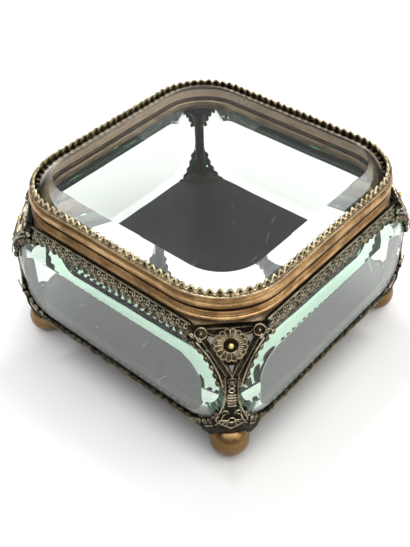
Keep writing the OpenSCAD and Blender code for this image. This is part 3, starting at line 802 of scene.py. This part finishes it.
def daisyPetals(i, end):
    part = newPart()
    hd = headFrame(i)
    lathe(part, [(0, 0.02), (5.6, 0.02), (5.6, 0.35), (3.0, 0.45), (0, 0.5)], hd, 48, 0.0)
    count = mount["petals"]
    for k in range(count):
        turn = hd @ Matrix.Rotation(math.tau * (k + 0.5) / count, 4, "Z")
        outer, inner, wideOut, wideIn = 6.0, 2.6, 0.96, 0.42
        loop = [(inner, -wideIn), (outer - wideOut, -wideOut)]
        loop += [(outer - wideOut + wideOut * math.sin(a), -wideOut * math.cos(a))
                 for a in [math.pi * s / 8 for s in range(1, 8)]]
        loop += [(outer - wideOut, wideOut), (inner, wideIn)]
        tube(part, [(x, y, 0.62) for x, y in loop], 0.17, turn, True, 6, 1.0)
        leaf = [(x, y * 0.9, 0.55) for x, y in loop]
        middle = (outer - 1.6, 0, 0.28)
        base = len(leaf)
        points = leaf + [middle] + [(x, y, 0.1) for x, y, _ in leaf]
        faces = [[s, (s + 1) % base, base] for s in range(base)]
        faces += [[s, (s + 1) % base, base + 1 + (s + 1) % base, base + 1 + s] for s in range(base)]
        faces.append([base + 1 + s for s in range(base)])
        addShape(part, points, faces, [0.45] * base + [0.1] + [0.0] * base, turn)
        tube(part, [(3.1, 0, 0.5), (4.6, 0, 0.42)], 0.16, turn, sides=5, raised=0.7)
    lathe(part, [(2.2, 0.3), (3.0, 0.3), (3.0, 0.8), (2.8, 1.0), (2.6, 0.9), (2.5, 0.7), (2.2, 0.6)], hd, 32,
          [0, 0, 0.5, 0.8, 0.4, 0.0, 0.0])
    makePiece("daisyPetals." + end, part, finishes["daisy"], "case", ["daisy_" + end], 50)

    part = newPart()
    dome = [(0, -1.6), (0.9, -1.6), (0.9, 0.6), (2.2, 0.6), (2.2, 0.95), (1.9, 1.1), (1.3, 0.9)]
    marks = [-0.5, -0.5, -0.5, -0.5, -0.5, -0.3, -0.5]
    dome += [(1.2 * math.cos(a), 1.1 + 1.5 * math.sin(a)) for a in [math.pi / 2 * k / 8 for k in range(1, 8)]]
    dome.append((0, 2.6))
    lathe(part, dome, hd, 32, marks + [0.1, 0.5] + [0.8] * 6)
    makePiece("bossDome." + end, part, finishes["boss"], "case", ["boss_" + end], 50)


def ballFoot(i, end):
    part = newPart()
    at = Matrix.Rotation(math.radians(90 * i), 4, "Z") @ Matrix.Translation((53.3, -53.3, 0))
    centre, radius = 7.6, 8.0
    start = math.degrees(math.asin(-centre / radius))
    stop = math.degrees(math.asin((15.2 - centre) / radius))
    profile = [(0, 0), (2.2, 0)]
    profile += [(radius * math.cos(a), centre + radius * math.sin(a))
                for a in [math.radians(start + (stop - start) * k / 28) for k in range(29)]]
    profile += [(1.25, 15.2), (1.25, 23.4), (0, 23.4)]
    lathe(part, profile, at, 64, 0.6)
    makePiece("ballFoot." + end, part, finishes["foot"], "case", ["foot_" + end], 30)


# torn corner of the floor's lining at the far corner, with a wavy edge
lining = {"corner": 55.4, "leg": 15.5, "top": 23.85, "thick": 0.35, "waves": 22}
part = newPart()
outline = [(-lining["corner"], lining["corner"])]
for k in range(lining["waves"] + 1):
    share = k / lining["waves"]
    x = -lining["corner"] + lining["leg"] * share
    y = lining["corner"] - lining["leg"] * (1 - share)
    sway = noise.noise(Vector((share * 7.0, 0.3, 0.7))) * 1.6 + 0.8 * math.sin(share * math.pi)
    outline.append((x + sway, y - sway))
plate(part, outline, lining["top"], lining["top"] + lining["thick"], None, 0.35, 0.2)
makePiece("liningFold", part, finishes["post"], "case", (), 40)

for i, end in enumerate(corners):
    mountRelief(i, end)
    daisyPetals(i, end)
    ballFoot(i, end)
print("mounts and feet are in place")

# table, light and camera
# underEdge, openEdge, halfTone and behindGain shape the shadow painted on the table; paintedShadowColor is its painted
# shadow colour
studio = {"floorColor": (0.92, 0.92, 0.92), "paintedShadowColor": (0.40, 0.40, 0.40), "skyLow": 0.27, "skyTop": 0.29, "keyPower": 8.0,
          "boxAim": (0.15, -0.17, 1.0), "boxEdge": 0.62, "boxCore": 0.95, "boxGlow": 3.75,
          "underEdge": (0.054, 0.068), "openEdge": (0.088, 0.14), "halfTone": 0.45, "behindGain": 1.9,
          "patchScale": 5.0, "patchLow": 0.35, "lowAim": (-0.83, 0.554, 0.065), "lowGlow": 2.0}
mesh = bpy.data.meshes.new("tableTop")
reach = 3.0
mesh.from_pydata([(-reach, -reach, 0), (reach, -reach, 0), (reach, reach, 0), (-reach, reach, 0)], [],
                 [(0, 1, 2, 3)])
table = bpy.data.objects.new("tableTop", mesh)
bpy.context.scene.collection.objects.link(table)
material, tree, shader, _ = newFinish("paleTable")
where = addNode(tree, "TexCoord").outputs["Object"]
# painted shadow of the box on the table: darker under the box, half tone in front of it, full tone sooner behind it
parted = addNode(tree, "SeparateXYZ", Vector=where)
away = calc(tree, "MAXIMUM", parted.outputs["X"], calc(tree, "MULTIPLY", parted.outputs["Y"], -1.0))
behind = calc(tree, "MAXIMUM", parted.outputs["Y"], calc(tree, "MULTIPLY", parted.outputs["X"], -1.0))
away = calc(tree, "MAXIMUM", away, calc(tree, "MULTIPLY", behind, studio["behindGain"]))
tone = calc(tree, "ADD", remap(tree, away, *studio["underEdge"], 0.0, studio["halfTone"]),
            remap(tree, away, *studio["openEdge"], 0.0, 1.0 - studio["halfTone"]))
tone = calc(tree, "ADD", tone, remap(tree, noiseOf(tree, where, 6.0, 3.0), 0.3, 0.7, -0.04, 0.04), True)
shade = blendColor(tree, tone, (*studio["paintedShadowColor"], 1), (*studio["floorColor"], 1))
tree.links.new(shade, shader.inputs["Base Color"])
shader.inputs["Roughness"].default_value = 0.7
mesh.materials.append(material)

world = bpy.data.worlds.new("studioSky")
bpy.context.scene.world = world
world.use_nodes = True
tree = world.node_tree
tree.nodes.clear()
output = tree.nodes.new("ShaderNodeOutputWorld")
sky = addNode(tree, "Background")
where = addNode(tree, "TexCoord").outputs["Generated"]
aim = Vector(studio["boxAim"]).normalized()
toward = addNode(tree, "VectorMath", {"operation": "DOT_PRODUCT"})
tree.links.new(where, toward.inputs[0])
toward.inputs[1].default_value = aim
glow = remap(tree, toward.outputs["Value"], studio["boxEdge"], studio["boxCore"], 0.0, studio["boxGlow"])
# uneven light from the ceiling leaves streaks in the bevels of the lid
patches = remap(tree, noiseOf(tree, where, studio["patchScale"], 2.0), 0.42, 0.58, studio["patchLow"], 1.15)
glow = calc(tree, "MULTIPLY", glow, patches)
aside = addNode(tree, "VectorMath", {"operation": "DOT_PRODUCT"})
tree.links.new(where, aside.inputs[0])
aside.inputs[1].default_value = Vector(studio["lowAim"]).normalized()
lowGlow = remap(tree, aside.outputs["Value"], 0.86, 0.97, 0.0, studio["lowGlow"])
glow = calc(tree, "ADD", glow, lowGlow)
height = addNode(tree, "SeparateXYZ", Vector=where).outputs["Z"]
dome = remap(tree, height, 0.0, 0.6, studio["skyLow"], studio["skyTop"])
# the camera itself sees a white room behind the table
seen = tree.nodes.new("ShaderNodeLightPath").outputs["Is Camera Ray"]
light = calc(tree, "MAXIMUM", calc(tree, "ADD", dome, glow), seen)
tree.links.new(light, sky.inputs["Strength"])
sky.inputs["Color"].default_value = (1, 1, 1, 1)
tree.links.new(sky.outputs[0], output.inputs["Surface"])


def softBox(name, spot, aim, size, power, color):
    light = bpy.data.lights.new(name, "AREA")
    light.shape = "RECTANGLE"
    light.size, light.size_y = size
    light.energy = power
    light.color = color
    lamp = bpy.data.objects.new(name, light)
    bpy.context.scene.collection.objects.link(lamp)
    lamp.location = spot
    lamp.rotation_euler = (Vector(aim) - Vector(spot)).to_track_quat("-Z", "Y").to_euler()
    return lamp


softBox("keyRight", (0.9, 0.35, 0.75), (0, 0, 0.05), (1.2, 0.9), studio["keyPower"], (1.0, 0.95, 0.88))

view = {"azimuth": 41.4204, "elevation": 42.3917, "distance": 379.306, "target": (-5.8312, 1.2905, 20.8758),
        "roll": -1.2651, "focal": 838.697, "frameHeight": 547, "sensor": 36.0}
az, el = math.radians(view["azimuth"]), math.radians(view["elevation"])
backward = Vector((math.sin(az) * math.cos(el), -math.cos(az) * math.cos(el), math.sin(el)))
right = Vector((math.cos(az), math.sin(az), 0))
up = backward.cross(right)
roll = math.radians(view["roll"])
turnedRight = right * math.cos(roll) + up * math.sin(roll)
turnedUp = up * math.cos(roll) - right * math.sin(roll)
lens = bpy.data.cameras.new("viewCamera")
lens.sensor_width = view["sensor"]
lens.lens = view["focal"] * view["sensor"] / view["frameHeight"]
lens.clip_start = 0.01
camera = bpy.data.objects.new("viewCamera", lens)
bpy.context.scene.collection.objects.link(camera)
spot = (Vector(view["target"]) + backward * view["distance"]) * mm
camera.matrix_world = Matrix((
    (turnedRight.x, turnedUp.x, backward.x, spot.x), (turnedRight.y, turnedUp.y, backward.y, spot.y),
    (turnedRight.z, turnedUp.z, backward.z, spot.z), (0, 0, 0, 1)))
bpy.context.scene.camera = camera
bpy.context.scene.view_settings.view_transform = "Standard"
bpy.context.scene.view_settings.look = "None"
# light runs many times between the faces of a thick plate
paths = bpy.context.scene.cycles
paths.max_bounces, paths.glossy_bounces, paths.transmission_bounces = 40, 32, 32
print("light and camera are in place")
